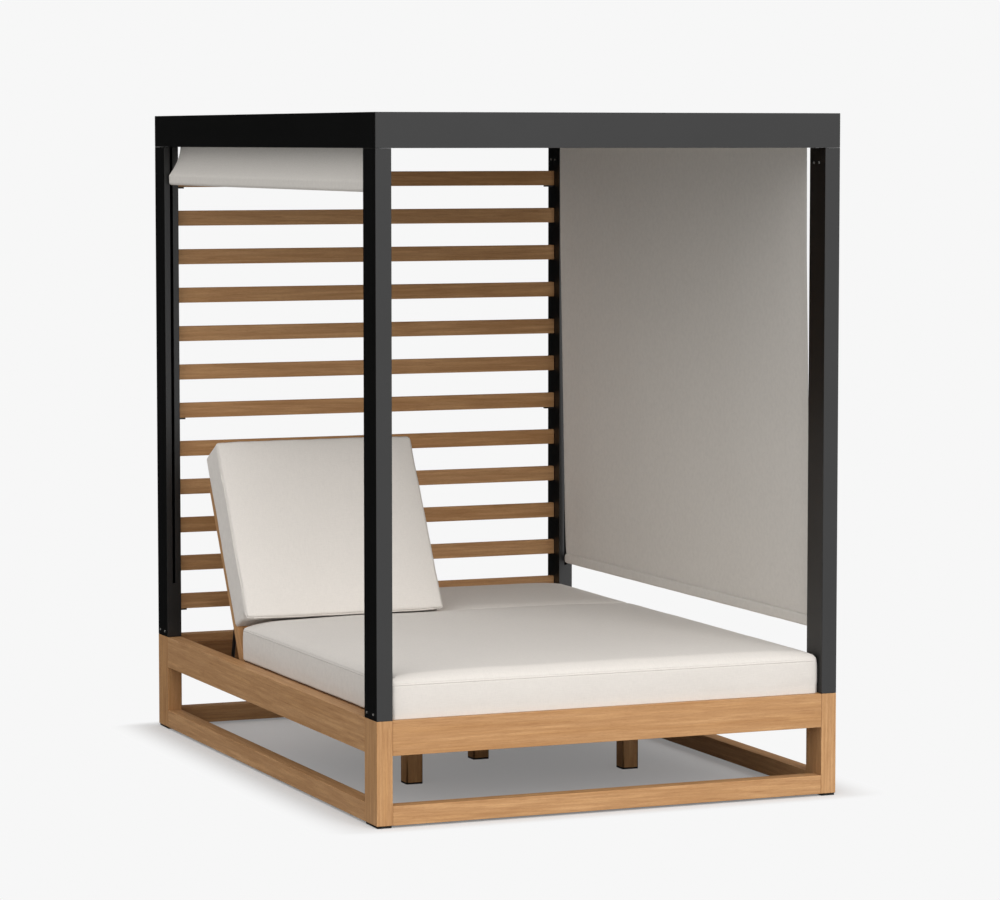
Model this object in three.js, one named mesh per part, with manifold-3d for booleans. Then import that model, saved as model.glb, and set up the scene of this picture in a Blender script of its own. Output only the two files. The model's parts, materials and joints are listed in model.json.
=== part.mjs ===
import * as THREE from 'three';
import { mergeVertices } from 'three/addons/utils/BufferGeometryUtils.js';
import Module from 'manifold-3d';

// Outdoor daybed with canopy, in millimetres, +Z up and +Y towards the headboard.
// The origin is on the floor under the middle of the bed.

// Overall size
const bedWidth = 1503.5;
const bedLength = 2120;
const bedHeight = 2085;

// Gap left between pieces that touch, and overrun of every cutting solid
const seatGap = 0.3;
const overrun = 5;

// Teak frame: legs, aprons and stretchers share one stock thickness
const stockThickness = 50;
const legDepth = 102;
const deckHeight = 316.2;
const apronHeight = 103.4;
const stretcherHeight = 57.6;
const glideHeight = 7;
const glideInset = 3;
const supportLegSize = 50;
const supportLegCorner = 6;
const supportLegInset = 331.75;

// Carriers inside the aprons: two side ledgers and a centre rail, notched for the props
const ledgerWidth = 46.5;
const centreRailWidth = 90;
const rackDrop = 43.9;
const rackPadHeight = 4.4;
const rackPadFront = 7.3;
const rackPadRear = 1.7;
const rackStopHeight = 3.6;
const rackStopLength = 10;
const rackFrontClearance = 3.5;
const rackEndClearance = 12;
const notchPitch = 42;
const notchDepth = 3;
const notchCount = 6;
const crossBeamWidth = 50;
const crossBeamSetback = 729;

// Seat deck: slats screwed to two battens
const deckSlatThickness = 18;
const deckSlatGap = 10;
const deckSlatCount = 12;
const deckHingeClearance = 40.8;
const battenWidth = 40;
const battenHeight = 20;
const battenInset = 12;

// Backrest frames: each turns on the hinge rod and is held up by a bail
const hingeSetback = 718.7;
const frameThickness = 41;
const frameMiddleGap = 8;
const frameSideGap = 9.75;
const frameFoot = 25;
const frameReach = 650;
const stileWidth = 22;
const backSlatThickness = 13.5;
const backSlatGap = 10.5;
const backSlatCount = 10;
const raisedAngle = THREE.MathUtils.degToRad(60.65);
const hingeRodRadius = 5;
const rodClearance = 0.4;
const rodSocketDepth = 12;
const hingePlateThickness = 12;
const hingePlateLength = 32;
const hingePlateMargin = 14.3;

// Props: a bent bail of round rod with an eye and a pin at each upper end
const propRodRadius = 6;
const propPivot = 243;
const propLean = THREE.MathUtils.degToRad(16.5);
const propSideGap = 0.5;
const propBend = 14;
const propEyeRadius = 6.5;
const propPinRadius = 4.5;
const propPinLength = 12;

// Posts: metal tube with a slot that guides the shade's hem bar
const postDepth = 102;
const tubeWall = 3;
const slotWidth = 9.4;
const slotReach = 8;

// Canopy: four mitred beams and a roof sheet
const beamHeight = 104;
const beamWidth = 50;
const roofThickness = 3;
const roofDrop = 22;

// Headboard slats between the back posts
const headSlatHeight = 51;
const headSlatThickness = 20;
const headSlatSetback = 57;
const headSlatDrop = 85.2;
const headSlatRise = 140.8;
const headSlatCount = 12;

// Shades: cloth on a roller, with a weighted hem bar that slides in the post slots
const clothThickness = 1.6;
const clothInset = 54;
const clothPostGap = 13;
const rollerRoofGap = 10;
const rollerSpindleRadius = 5;
const woundRadius = { left: 25, right: 21 };
const hemDropRaised = 126.5;
const hemRiseLowered = 191.8;
const hemHeight = 35;
const hemThickness = 20;
const hemCorner = 8;
const hemPostGap = 10;
const hemPinRadius = 3.2;
const hemPinReach = 18;

// Cushions: a boxed pad with a seam at the top of its side and a crown above it
const cushionSideGap = 1.75;
const seatCushionSetback = 20;
const seatCushionHingeGap = 4.8;
const seatPad = { seam: 103, shoulder: 30, crown: 8, corner: 34, edge: 21, lean: 7, drawIn: 4 };
const backCushionLength = 597;
const backCushionMiddleGap = 8;
const backPad = { seam: 109, shoulder: 17, crown: 9, corner: 26, edge: 18, lean: 5, drawIn: 4 };
const flatCushionStart = 4;
const cushionTravel = 125.3;

// Places worked out from the sizes above
const halfWidth = bedWidth / 2;
const halfLength = bedLength / 2;
const innerHalfWidth = halfWidth - stockThickness;
const innerHalfLength = halfLength - stockThickness;
const sides = [['left', -1], ['right', 1]];
const ends = [['front', -1], ['back', 1]];
const apronBottom = deckHeight - apronHeight;
const hingeY = halfLength - hingeSetback;
const deckRear = hingeY - deckHingeClearance;
const crossBeamRear = crossBeamSetback - halfLength;
const hingeZ = deckHeight - frameThickness / 2;
const deckSeatTop = deckHeight - deckSlatThickness - seatGap;
const rackTop = deckSeatTop - rackDrop;
const rackPadTop = rackTop + rackPadHeight;
const flatSeatTop = deckHeight - frameThickness - seatGap;
const beamBottom = bedHeight - beamHeight;
const roofBottom = bedHeight - roofDrop - roofThickness;
const rollerHeight = roofBottom - rollerRoofGap - woundRadius.left;
const hemBottom = { left: beamBottom - hemDropRaised, right: deckHeight + hemRiseLowered };
const clothHalf = halfLength - postDepth - clothPostGap;
const hemHalf = halfLength - postDepth - hemPostGap;
const frameWidth = innerHalfWidth - frameSideGap - frameMiddleGap;
const frameCentre = frameMiddleGap + frameWidth / 2;
const seatCushionFront = seatCushionSetback - halfLength;
const seatCushionLength = hingeY - seatCushionHingeGap - seatCushionFront;
const cushionEdgeX = innerHalfWidth - cushionSideGap;
const backCushionWidth = cushionEdgeX - backCushionMiddleGap;
const clothX = halfWidth - clothInset;
const postX = halfWidth - beamWidth / 2;
const propPivotY = hingeY + propPivot * Math.cos(raisedAngle);
const propPivotZ = hingeZ + propPivot * Math.sin(raisedAngle);
const propFootZ = rackPadTop + seatGap + propRodRadius;
const propLength = (propPivotZ - propFootZ) / Math.cos(propLean);
const propFootY = propPivotY + propLength * Math.sin(propLean);
const propArmX = frameWidth / 2 - stileWidth - propSideGap - propRodRadius;
const rightAngle = Math.PI / 2;
const propFoldAngle = raisedAngle + rightAngle - propLean;

// Materials
const teak = new THREE.MeshStandardMaterial({ color: 0xb98a58, roughness: 0.7, metalness: 0 });
const innerTeak = new THREE.MeshStandardMaterial({ color: 0x8c6038, roughness: 0.8, metalness: 0 });
const metal = new THREE.MeshStandardMaterial({ color: 0x2b2b2b, roughness: 0.45, metalness: 0.4 });
const steel = new THREE.MeshStandardMaterial({ color: 0x1c1c1c, roughness: 0.4, metalness: 0.8 });
const plastic = new THREE.MeshStandardMaterial({ color: 0x151515, roughness: 0.6, metalness: 0 });
const cushionCloth = new THREE.MeshStandardMaterial({ color: 0xded9d2, roughness: 0.95, metalness: 0 });
const shadeCloth = new THREE.MeshStandardMaterial({ color: 0xb7b0aa, roughness: 0.9, metalness: 0 });

const daybed = new THREE.Group();

function addPiece(parent, name, geometry, material, x, y, z) {
  const piece = new THREE.Mesh(geometry, material);
  piece.name = name;
  piece.position.set(x, y, z);
  parent.add(piece);
  return piece;
}

// Solids: joining and cutting
const wasm = await Module();
wasm.setup();

function toSolid(geometry) {
  const bare = geometry.clone();
  bare.deleteAttribute('normal');
  bare.deleteAttribute('uv');
  const merged = mergeVertices(bare);
  return new wasm.Manifold(new wasm.Mesh({
    numProp: 3,
    vertProperties: new Float32Array(merged.attributes.position.array),
    triVerts: new Uint32Array(merged.index.array)
  }));
}

function toGeometry(solid) {
  const mesh = solid.getMesh();
  const geometry = new THREE.BufferGeometry();
  geometry.setAttribute('position', new THREE.BufferAttribute(mesh.vertProperties, 3));
  geometry.setIndex(new THREE.BufferAttribute(mesh.triVerts, 1));
  geometry.computeVertexNormals();
  return geometry;
}

function join(geometries) {
  return toGeometry(geometries.map(toSolid).reduce((whole, next) => whole.add(next)));
}

function cut(geometry, tools) {
  return toGeometry(tools.map(toSolid).reduce((whole, tool) => whole.subtract(tool), toSolid(geometry)));
}

// Blocks span the given limits; rods run along X or Y through the given centre
function block(x0, x1, y0, y1, z0, z1) {
  const geometry = new THREE.BoxGeometry(x1 - x0, y1 - y0, z1 - z0);
  return geometry.translate((x0 + x1) / 2, (y0 + y1) / 2, (z0 + z1) / 2);
}

function rodAlongX(radius, x0, x1, y, z) {
  const geometry = new THREE.CylinderGeometry(radius, radius, x1 - x0, 20);
  return geometry.rotateZ(rightAngle).translate((x0 + x1) / 2, y, z);
}

function rodAlongY(radius, y0, y1, x, z) {
  const geometry = new THREE.CylinderGeometry(radius, radius, y1 - y0, 24);
  return geometry.translate(x, (y0 + y1) / 2, z);
}

// A profile drawn in Y and Z, extruded along X about the middle
function extrudeAlongX(shape, length) {
  const geometry = new THREE.ExtrudeGeometry(shape, { depth: length, bevelEnabled: false });
  const turn = new THREE.Matrix4().makeBasis(
    new THREE.Vector3(0, 1, 0),
    new THREE.Vector3(0, 0, 1),
    new THREE.Vector3(1, 0, 0)
  );
  return geometry.translate(0, 0, -length / 2).applyMatrix4(turn);
}

// A profile drawn in X and Z, extruded along Y about the middle
function extrudeAlongY(shape, length) {
  const geometry = new THREE.ExtrudeGeometry(shape, { depth: length, bevelEnabled: false });
  return geometry.translate(0, 0, -length / 2).rotateX(rightAngle);
}

function rectangle(x0, x1, y0, y1, PathType = THREE.Shape) {
  const outline = new PathType();
  outline.moveTo(x0, y0);
  outline.lineTo(x1, y0);
  outline.lineTo(x1, y1);
  outline.lineTo(x0, y1);
  outline.closePath();
  return outline;
}

function roundedRectangle(width, height, corner) {
  const x = width / 2;
  const y = height / 2;
  const outline = new THREE.Shape();
  outline.moveTo(x, y - corner);
  outline.absarc(x - corner, y - corner, corner, 0, rightAngle);
  outline.absarc(corner - x, y - corner, corner, rightAngle, 2 * rightAngle);
  outline.absarc(corner - x, corner - y, corner, 2 * rightAngle, 3 * rightAngle);
  outline.absarc(x - corner, corner - y, corner, 3 * rightAngle, 4 * rightAngle);
  return outline;
}

// Corner legs, each on a glide
function addLegs() {
  const legX = halfWidth - stockThickness / 2;
  const legY = halfLength - legDepth / 2;
  const legHeight = deckHeight - glideHeight - seatGap;
  const glideWidth = stockThickness - 2 * glideInset;
  const glideDepth = legDepth - 2 * glideInset;
  for (const [end, endSign] of ends) {
    for (const [side, sideSign] of sides) {
      const leg = new THREE.BoxGeometry(stockThickness, legDepth, legHeight);
      const glide = new THREE.BoxGeometry(glideWidth, glideDepth, glideHeight);
      const legZ = deckHeight - legHeight / 2;
      addPiece(daybed, `leg_${end}_${side}`, leg, teak, sideSign * legX, endSign * legY, legZ);
      const x = sideSign * legX;
      const y = endSign * legY;
      addPiece(daybed, `glide_${end}_${side}`, glide, plastic, x, y, glideHeight / 2);
    }
  }
}

// Aprons and bottom stretchers: end ones between the legs' inner sides, side ones between legs
function addRails() {
  const endLength = 2 * (innerHalfWidth - seatGap);
  const sideLength = 2 * (halfLength - legDepth - seatGap);
  const railY = halfLength - stockThickness / 2;
  const railX = halfWidth - stockThickness / 2;
  const apronZ = apronBottom + apronHeight / 2;
  const stretcherZ = glideHeight + stretcherHeight / 2;
  for (const [end, sign] of ends) {
    const apron = new THREE.BoxGeometry(endLength, stockThickness, apronHeight);
    const stretcher = new THREE.BoxGeometry(endLength, stockThickness, stretcherHeight);
    addPiece(daybed, `apron_${end}`, apron, teak, 0, sign * railY, apronZ);
    addPiece(daybed, `stretcher_${end}`, stretcher, teak, 0, sign * railY, stretcherZ);
  }
  for (const [side, sign] of sides) {
    const apron = new THREE.BoxGeometry(stockThickness, sideLength, apronHeight);
    const stretcher = new THREE.BoxGeometry(stockThickness, sideLength, stretcherHeight);
    const socketStart = stockThickness / 2 - rodSocketDepth;
    const socketEnd = stockThickness / 2 + overrun;
    const low = Math.min(-sign * socketStart, -sign * socketEnd);
    const high = Math.max(-sign * socketStart, -sign * socketEnd);
    const socket = rodAlongX(hingeRodRadius + rodClearance, low, high, hingeY, hingeZ - apronZ);
    addPiece(daybed, `apron_${side}`, cut(apron, [socket]), teak, sign * railX, 0, apronZ);
    addPiece(daybed, `stretcher_${side}`, stretcher, teak, sign * railX, 0, stretcherZ);
  }
}

// Outline of a carrier from front apron to back apron: deck seat, prop rack, backrest seat
function carrierOutline() {
  const end = innerHalfLength - seatGap;
  const rackFront = deckRear + rackFrontClearance;
  const rackRear = hingeY + propPivot + propLength + rackEndClearance;
  const padFront = propFootY - rackPadFront;
  const padRear = propFootY + rackPadRear;
  const stopTop = rackPadTop + rackStopHeight;
  const outline = new THREE.Shape();
  outline.moveTo(-end, apronBottom);
  outline.lineTo(end, apronBottom);
  outline.lineTo(end, flatSeatTop);
  outline.lineTo(rackRear, flatSeatTop);
  outline.lineTo(rackRear, rackTop);
  for (let i = notchCount; i >= 1; i -= 1) {
    const step = padRear + i * notchPitch;
    outline.lineTo(step, rackTop);
    outline.lineTo(step, rackTop - notchDepth);
    outline.lineTo(step - notchPitch / 2, rackTop);
  }
  outline.lineTo(padRear, rackTop);
  outline.lineTo(padRear, rackPadTop);
  outline.lineTo(padFront, rackPadTop);
  outline.lineTo(padFront, stopTop);
  outline.lineTo(padFront - rackStopLength, stopTop);
  outline.lineTo(padFront - rackStopLength, rackTop);
  outline.lineTo(rackFront, rackTop);
  outline.lineTo(rackFront, deckSeatTop);
  outline.lineTo(-end, deckSeatTop);
  outline.closePath();
  return outline;
}

// Side ledgers on the side aprons, and the centre rail crossed by a halved beam
function addCarriers() {
  const ledgerX = innerHalfWidth - seatGap - ledgerWidth / 2;
  for (const [side, sign] of sides) {
    const ledger = extrudeAlongX(carrierOutline(), ledgerWidth);
    addPiece(daybed, `ledger_${side}`, ledger, innerTeak, sign * ledgerX, 0, 0);
  }
  const beamTop = deckSeatTop - battenHeight;
  const beamFront = crossBeamRear - crossBeamWidth;
  const halving = (apronBottom + beamTop) / 2;
  const railHalf = centreRailWidth / 2;
  const rail = extrudeAlongX(carrierOutline(), centreRailWidth);
  const housing = block(
    -railHalf - overrun, railHalf + overrun,
    beamFront - seatGap, crossBeamRear + seatGap,
    halving, deckSeatTop + overrun
  );
  addPiece(daybed, 'centre_rail', cut(rail, [housing]), innerTeak, 0, 0, 0);
  const beamHalf = innerHalfWidth - 2 * seatGap - ledgerWidth;
  const beam = block(-beamHalf, beamHalf, beamFront, crossBeamRear, apronBottom, beamTop);
  const lap = block(
    -railHalf - seatGap, railHalf + seatGap,
    beamFront - overrun, crossBeamRear + overrun,
    apronBottom - overrun, halving + seatGap
  );
  addPiece(daybed, 'cross_beam', cut(beam, [lap]), innerTeak, 0, 0, 0);
}

// Three square legs with rounded corners stand under the cross beam and the centre rail
function addSupportLegs() {
  const height = apronBottom - seatGap;
  const beamY = crossBeamRear - crossBeamWidth / 2;
  const legX = innerHalfWidth - supportLegInset;
  const places = [
    ['support_leg_left', -legX, beamY],
    ['support_leg_right', legX, beamY],
    ['support_leg_middle', 0, 0]
  ];
  for (const [name, x, y] of places) {
    const outline = roundedRectangle(supportLegSize, supportLegSize, supportLegCorner);
    const leg = new THREE.ExtrudeGeometry(outline, { depth: height, bevelEnabled: false, curveSegments: 4 });
    addPiece(daybed, name, leg, innerTeak, x, y, 0);
  }
}

// Seat deck: slats on two battens, screwed up as one panel
function addSeatDeck() {
  const front = seatGap - innerHalfLength;
  const pitch = (deckRear - front + deckSlatGap) / deckSlatCount;
  const slatWidth = pitch - deckSlatGap;
  const half = innerHalfWidth - seatGap;
  const slatBottom = deckHeight - deckSlatThickness;
  const parts = [];
  for (let i = 0; i < deckSlatCount; i += 1) {
    const start = front + i * pitch;
    parts.push(block(-half, half, start, start + slatWidth, slatBottom, deckHeight));
  }
  for (const sign of [-1, 1]) {
    const x0 = sign * frameCentre - battenWidth / 2;
    const top = slatBottom + deckSlatThickness / 2;
    const y0 = front + battenInset;
    const y1 = deckRear - battenInset;
    parts.push(block(x0, x0 + battenWidth, y0, y1, slatBottom - battenHeight, top));
  }
  addPiece(daybed, 'seat_deck', join(parts), innerTeak, 0, 0, 0);
}

// Hinge rod across the bed, held in the side aprons and in a plate on the centre rail
function addHinge() {
  const half = innerHalfWidth + rodSocketDepth - seatGap;
  const rod = rodAlongX(hingeRodRadius, -half, half, 0, 0);
  addPiece(daybed, 'hinge_rod', rod, steel, 0, hingeY, hingeZ);
  const plateBottom = rackTop + seatGap - hingeZ;
  const plate = block(
    -hingePlateThickness / 2, hingePlateThickness / 2,
    -hingePlateLength / 2, hingePlateLength / 2,
    plateBottom, hingePlateMargin
  );
  const bore = rodAlongX(
    hingeRodRadius + rodClearance,
    -hingePlateThickness, hingePlateThickness,
    0, 0
  );
  addPiece(daybed, 'centre_hinge_plate', cut(plate, [bore]), steel, 0, hingeY, hingeZ);
}

// Backrest frame about its hinge: X across, Y up the frame, Z out of its front face
function backrestFrame() {
  const half = frameWidth / 2;
  const face = frameThickness / 2;
  const slatBack = face - backSlatThickness;
  const slatHalf = half - stileWidth / 2;
  const parts = [];
  for (const sign of [-1, 1]) {
    const centre = sign * (half - stileWidth / 2);
    const x0 = centre - stileWidth / 2;
    parts.push(block(x0, x0 + stileWidth, -frameFoot, frameReach, -face, face));
  }
  const pitch = (frameReach + frameFoot + backSlatGap) / backSlatCount;
  const slatWidth = pitch - backSlatGap;
  for (let i = 0; i < backSlatCount; i += 1) {
    const start = i * pitch - frameFoot;
    parts.push(block(-slatHalf, slatHalf, start, start + slatWidth, slatBack, face));
  }
  const railTop = slatBack + backSlatThickness / 2;
  parts.push(block(-slatHalf, slatHalf, frameReach - stileWidth, frameReach, -face, railTop));
  const through = half + overrun;
  const tools = [rodAlongX(hingeRodRadius + rodClearance, -through, through, 0, 0)];
  const pinHole = half - stileWidth + propPinLength + seatGap;
  const pinRadius = propPinRadius + rodClearance;
  tools.push(rodAlongX(pinRadius, half - stileWidth - overrun, pinHole, propPivot, 0));
  tools.push(rodAlongX(pinRadius, -pinHole, stileWidth + overrun - half, propPivot, 0));
  return cut(join(parts), tools);
}

// Prop about its pivot: two arms along Y, a foot across, and eyes with pins at the top
function propBail() {
  const path = new THREE.CurvePath();
  const corner = new THREE.Vector3(propArmX, propLength, 0);
  const armEnd = new THREE.Vector3(propArmX, propLength - propBend, 0);
  const footEnd = new THREE.Vector3(propArmX - propBend, propLength, 0);
  const mirrored = (point) => new THREE.Vector3(-point.x, point.y, point.z);
  const armTop = new THREE.Vector3(propArmX, 0, 0);
  path.add(new THREE.LineCurve3(mirrored(armTop), mirrored(armEnd)));
  path.add(new THREE.QuadraticBezierCurve3(mirrored(armEnd), mirrored(corner), mirrored(footEnd)));
  path.add(new THREE.LineCurve3(mirrored(footEnd), footEnd));
  path.add(new THREE.QuadraticBezierCurve3(footEnd, corner, armEnd));
  path.add(new THREE.LineCurve3(armEnd, armTop));
  const section = new THREE.Shape().absarc(0, 0, propRodRadius, 0, 4 * rightAngle);
  const rod = sweep(section, path);
  const parts = [rod];
  const eyeInner = propArmX - propRodRadius;
  const eyeOuter = propArmX + propRodRadius;
  const pinEnd = frameWidth / 2 - stileWidth + propPinLength;
  parts.push(rodAlongX(propEyeRadius, eyeInner, eyeOuter, 0, 0));
  parts.push(rodAlongX(propEyeRadius, -eyeOuter, -eyeInner, 0, 0));
  parts.push(rodAlongX(propPinRadius, propArmX, pinEnd, 0, 0));
  parts.push(rodAlongX(propPinRadius, -pinEnd, -propArmX, 0, 0));
  return join(parts);
}

// A round section carried along a bent path, with a ring at each end of every bend step
function sweep(section, path) {
  const outline = section.getPoints(3).slice(0, -1);
  const stations = [];
  for (const curve of path.curves) {
    const steps = curve.isLineCurve3 ? 1 : 5;
    for (let i = stations.length ? 1 : 0; i <= steps; i += 1) {
      stations.push({ at: curve.getPoint(i / steps), along: curve.getTangent(i / steps) });
    }
  }
  const up = new THREE.Vector3(0, 0, 1);
  const positions = [];
  for (const { at, along } of stations) {
    const across = new THREE.Vector3().crossVectors(up, along).normalize();
    for (const { x, y } of outline) {
      const point = at.clone().addScaledVector(across, x).addScaledVector(up, y);
      positions.push(point.x, point.y, point.z);
    }
  }
  return closedRings(positions, outline.length, stations[0].at, stations[stations.length - 1].at);
}

// Rings of points joined in order, closed by a fan to a middle point at each end
function closedRings(positions, ringSize, first, last) {
  const rings = positions.length / (3 * ringSize);
  const firstIndex = rings * ringSize;
  const lastIndex = firstIndex + 1;
  const indices = [];
  for (let j = 0; j < ringSize; j += 1) {
    const next = (j + 1) % ringSize;
    indices.push(firstIndex, next, j);
    indices.push(lastIndex, firstIndex - ringSize + j, firstIndex - ringSize + next);
    for (let i = 0; i < rings - 1; i += 1) {
      const low = i * ringSize;
      const high = low + ringSize;
      indices.push(low + j, low + next, high + next);
      indices.push(low + j, high + next, high + j);
    }
  }
  const points = [...positions, first.x, first.y, first.z, last.x, last.y, last.z];
  const geometry = new THREE.BufferGeometry();
  geometry.setAttribute('position', new THREE.BufferAttribute(new Float32Array(points), 3));
  geometry.setIndex(indices);
  geometry.computeVertexNormals();
  return geometry;
}

// One level of a cushion: a rounded rectangle whose sides curve in between the corners
function cushionRing(halfX, halfY, corner, drawIn) {
  const cornerSteps = 4;
  const sideSteps = 6;
  const points = [];
  for (let side = 0; side < 4; side += 1) {
    const alongX = side % 2 === 1;
    const reach = alongX ? halfY : halfX;
    const span = (alongX ? halfX : halfY) - corner;
    const turn = new THREE.Vector2(0, 0);
    const start = side * rightAngle;
    for (let i = 0; i < sideSteps; i += 1) {
      const share = i / sideSteps;
      const bow = drawIn * Math.sin(Math.PI * share);
      const point = new THREE.Vector2(reach - bow, span * (2 * share - 1));
      points.push(point.rotateAround(turn, start));
    }
    const centre = new THREE.Vector2(reach - corner, span);
    for (let i = 0; i < cornerSteps; i += 1) {
      const angle = rightAngle * i / cornerSteps;
      const offset = new THREE.Vector2(corner * Math.cos(angle), corner * Math.sin(angle));
      points.push(offset.add(centre).rotateAround(turn, start));
    }
  }
  return points;
}

// A cushion about the middle of its underside, built up level by level to its crown
function cushionSolid(width, length, pad) {
  const roundSteps = 4;
  const crownSteps = 5;
  const levels = [];
  for (let i = 0; i <= roundSteps; i += 1) {
    const angle = rightAngle * i / roundSteps;
    const inset = pad.lean + pad.edge * (1 - Math.sin(angle));
    levels.push({ z: pad.edge * (1 - Math.cos(angle)), inset, scale: 1 });
  }
  for (let i = 0; i <= roundSteps; i += 1) {
    const angle = rightAngle * i / roundSteps;
    const z = pad.seam + pad.shoulder * Math.sin(angle);
    levels.push({ z, inset: pad.shoulder * (1 - Math.cos(angle)), scale: 1 });
  }
  for (let i = 1; i < crownSteps; i += 1) {
    const scale = 1 - i / crownSteps;
    const z = pad.seam + pad.shoulder + pad.crown * (1 - scale * scale);
    levels.push({ z, inset: pad.shoulder, scale });
  }
  const positions = [];
  let ringSize = 0;
  for (const { z, inset, scale } of levels) {
    const halfX = (width / 2 - inset) * scale;
    const halfY = (length / 2 - inset) * scale;
    const ring = cushionRing(halfX, halfY, pad.corner * scale, pad.drawIn * scale);
    ringSize = ring.length;
    for (const point of ring) {
      positions.push(point.x, point.y, z);
    }
  }
  const top = pad.seam + pad.shoulder + pad.crown;
  return closedRings(positions, ringSize, new THREE.Vector3(), new THREE.Vector3(0, 0, top));
}

// Each side's backrest with its prop and cushion: the left one is up, the right one lies flat
function addBackrests() {
  for (const [side, sign] of sides) {
    const raised = side === 'left';
    const pivot = new THREE.Group();
    pivot.position.set(0, hingeY, hingeZ);
    pivot.rotation.x = raised ? raisedAngle : 0;
    daybed.add(pivot);
    addPiece(pivot, `backrest_frame_${side}`, backrestFrame(), innerTeak, sign * frameCentre, 0, 0);
    const prop = addPiece(pivot, `prop_${side}`, propBail(), steel, sign * frameCentre, propPivot, 0);
    prop.rotation.x = raised ? -propFoldAngle : 0;
    const start = flatCushionStart + (raised ? cushionTravel : 0);
    const x = sign * (backCushionMiddleGap + backCushionWidth / 2);
    const y = start + backCushionLength / 2;
    const z = frameThickness / 2 + seatGap;
    const cushion = cushionSolid(backCushionWidth, backCushionLength, backPad);
    addPiece(pivot, `back_cushion_${side}`, cushion, cushionCloth, x, y, z);
  }
}

function addSeatCushion() {
  const y = seatCushionFront + seatCushionLength / 2;
  const cushion = cushionSolid(2 * cushionEdgeX, seatCushionLength, seatPad);
  addPiece(daybed, 'seat_cushion', cushion, cushionCloth, 0, y, deckHeight + seatGap);
}

// Posts: a tube on each leg, slotted towards the other post of its side
function addPosts() {
  const bottom = deckHeight + seatGap;
  const height = beamBottom - seatGap - bottom;
  const slotBottom = hemBottom.right - slotReach;
  const x = beamWidth / 2;
  const y = postDepth / 2;
  for (const [end, endSign] of ends) {
    for (const [side, sideSign] of sides) {
      const outline = rectangle(-x, x, -y, y);
      outline.holes.push(rectangle(tubeWall - x, x - tubeWall, tubeWall - y, y - tubeWall, THREE.Path));
      const tube = new THREE.ExtrudeGeometry(outline, { depth: height, bevelEnabled: false });
      const slotMiddle = -endSign * (y - tubeWall / 2);
      const slotDepth = tubeWall / 2 + overrun / 2;
      const slot = block(
        -slotWidth / 2, slotWidth / 2,
        slotMiddle - slotDepth, slotMiddle + slotDepth,
        slotBottom - bottom, height + overrun
      );
      const postY = endSign * (halfLength - y);
      addPiece(daybed, `post_${end}_${side}`, cut(tube, [slot]), metal, sideSign * postX, postY, bottom);
    }
  }
}

// A hollow beam along X, outer face at Y zero, with its ends mitred
function mitredBeam(length) {
  const outline = rectangle(0, beamWidth, 0, beamHeight);
  const innerTop = beamHeight - tubeWall;
  outline.holes.push(rectangle(tubeWall, beamWidth - tubeWall, tubeWall, innerTop, THREE.Path));
  const tube = toSolid(extrudeAlongX(outline, length));
  const half = length / 2 - seatGap * Math.SQRT1_2;
  const plan = new THREE.Shape();
  plan.moveTo(-half, 0);
  plan.lineTo(half, 0);
  plan.lineTo(half - beamWidth, beamWidth);
  plan.lineTo(beamWidth - half, beamWidth);
  plan.closePath();
  const keep = new THREE.ExtrudeGeometry(plan, { depth: beamHeight, bevelEnabled: false });
  return toGeometry(tube.intersect(toSolid(keep)));
}

// Canopy ring of four beams round a roof sheet
function addCanopy() {
  const places = [
    ['front', bedWidth, 0, 0, -halfLength],
    ['right', bedLength, 1, halfWidth, 0],
    ['back', bedWidth, 2, 0, halfLength],
    ['left', bedLength, 3, -halfWidth, 0]
  ];
  for (const [name, length, quarterTurns, x, y] of places) {
    const beam = addPiece(daybed, `beam_${name}`, mitredBeam(length), metal, x, y, beamBottom);
    beam.rotation.z = quarterTurns * rightAngle;
  }
  const roofX = 2 * (halfWidth - beamWidth - seatGap);
  const roofY = 2 * (halfLength - beamWidth - seatGap);
  const roof = new THREE.BoxGeometry(roofX, roofY, roofThickness);
  addPiece(daybed, 'roof_panel', roof, metal, 0, 0, roofBottom + roofThickness / 2);
}

// Headboard: level slats between the back posts, numbered from the top
function addHeadboard() {
  const slatLength = 2 * (halfWidth - beamWidth - seatGap);
  const y = halfLength - headSlatSetback + headSlatThickness / 2;
  const top = beamBottom - headSlatDrop;
  const pitch = (top - deckHeight - headSlatRise) / (headSlatCount - 1);
  for (let i = 0; i < headSlatCount; i += 1) {
    const slat = new THREE.BoxGeometry(slatLength, headSlatThickness, headSlatHeight);
    const z = top - i * pitch - headSlatHeight / 2;
    addPiece(daybed, `headboard_slat_${i + 1}`, slat, teak, 0, y, z);
  }
}

// Cloth strip between the roller and the hem bar, as seen along Y on the right side
function clothOutline(side) {
  const bottom = hemBottom[side] + hemHeight + seatGap;
  const curveSteps = 6;
  const centreLine = [new THREE.Vector2(clothX, rollerHeight)];
  const top = new THREE.Vector2(clothX, beamBottom);
  const flare = new THREE.QuadraticBezierCurve(
    top,
    new THREE.Vector2(clothX, (beamBottom + bottom) / 2),
    new THREE.Vector2(postX, bottom)
  );
  const slope = new THREE.LineCurve(top, new THREE.Vector2(postX, bottom));
  centreLine.push(...(side === 'left' ? flare.getPoints(curveSteps) : slope.getPoints(1)));
  const outline = new THREE.Shape();
  const half = clothThickness / 2;
  const inner = centreLine.map((point) => new THREE.Vector2(point.x - half, point.y));
  const outer = centreLine.map((point) => new THREE.Vector2(point.x + half, point.y));
  outline.setFromPoints([...inner, ...outer.reverse()]);
  return outline;
}

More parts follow.
